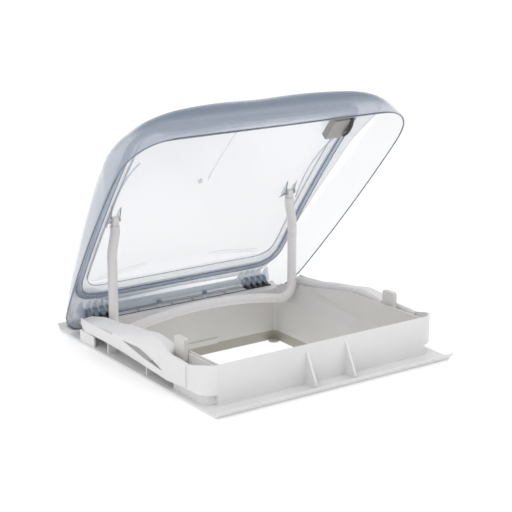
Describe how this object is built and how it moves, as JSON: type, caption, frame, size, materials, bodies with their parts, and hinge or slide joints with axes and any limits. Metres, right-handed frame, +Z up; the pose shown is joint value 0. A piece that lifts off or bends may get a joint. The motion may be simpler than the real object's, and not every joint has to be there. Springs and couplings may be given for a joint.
{
  "type": "roof vent cover",
  "caption": "Caravan roof vent: a double-skinned tinted dome lid, hinged on a white frame and held open by a bent tube bail.",
  "frame": {"origin": "centre of the roof cut-out, level with the top of the roof skin", "axes": "+X across the vent, +Y back towards the hinge, +Z up out of the roof"},
  "size_m": [0.5754, 0.5381, 0.5299],
  "materials": {
    "frame_white": "moulded white plastic",
    "lining_white": "smooth white plastic",
    "dome_tint": "smoke-tinted clear acrylic",
    "pane_clear": "clear acrylic",
    "rail_clear": "clear acrylic seen edge on",
    "seal_rubber": "soft grey sealing rubber",
    "bail_white": "white powder-coated aluminium tube",
    "hinge_black": "black moulded plastic",
    "latch_grey": "taupe-grey moulded plastic",
    "rod_steel": "plain steel rod",
    "screw_steel": "zinc-plated screws"
  },
  "bodies": {
    "frame": {"roof_frame": "frame_white", "roof_seal": "seal_rubber", "inner_lining": "lining_white", "lower_ring": "lining_white", "side_cover_left": "frame_white", "side_cover_right": "frame_white", "striker_post_left": "lining_white", "striker_post_right": "lining_white", "post_screws": "screw_steel", "corner_screws": "screw_steel", "hinge_base": "hinge_black", "hinge_rod": "rod_steel", "hinge_base_screws": "screw_steel"},
    "lid": {"bail_bracket_left": "pane_clear", "bail_bracket_right": "pane_clear", "hinge_comb": "rail_clear", "hinge_end_gusset_left": "rail_clear", "hinge_end_gusset_right": "rail_clear", "latch_housing": "latch_grey", "lid_inner_pane": "pane_clear", "lid_outer_skin": "dome_tint", "lid_rail": "rail_clear", "lid_seal": "seal_rubber", "pane_plug": "pane_clear", "pivot_pin_left": "rod_steel", "pivot_pin_right": "rod_steel", "side_bead_left": "pane_clear", "side_bead_right": "pane_clear"},
    "bail": {"bail_tube": "bail_white", "bail_end_plug_left": "bail_white", "bail_end_plug_right": "bail_white"},
    "latch_lever": {"latch_lever": "hinge_black"}
  },
  "joints": [
    {"name": "lid_hinge", "type": "hinge", "parent": "frame", "child": "lid", "pos_m": [0, 0.235, 0.032], "axis": [1, 0, 0], "range_deg": [0, 47.5]},
    {"name": "bail_pivot", "type": "hinge", "parent": "lid", "child": "bail", "pos_m": [0, 0.1372, 0.2245], "axis": [1, 0, 0], "range_deg": [-127, 0]},
    {"name": "latch_slide", "type": "slide", "parent": "lid", "child": "latch_lever", "axis": [0, -0.6361, 0.7716], "range_m": [0, 0.006], "stiffness_N_per_m": 200, "springref_m": -0.003}
  ],
  "couplings": [
    {"joint": "bail_pivot", "follows": "lid_hinge", "ratio": -2.663}
  ]
}
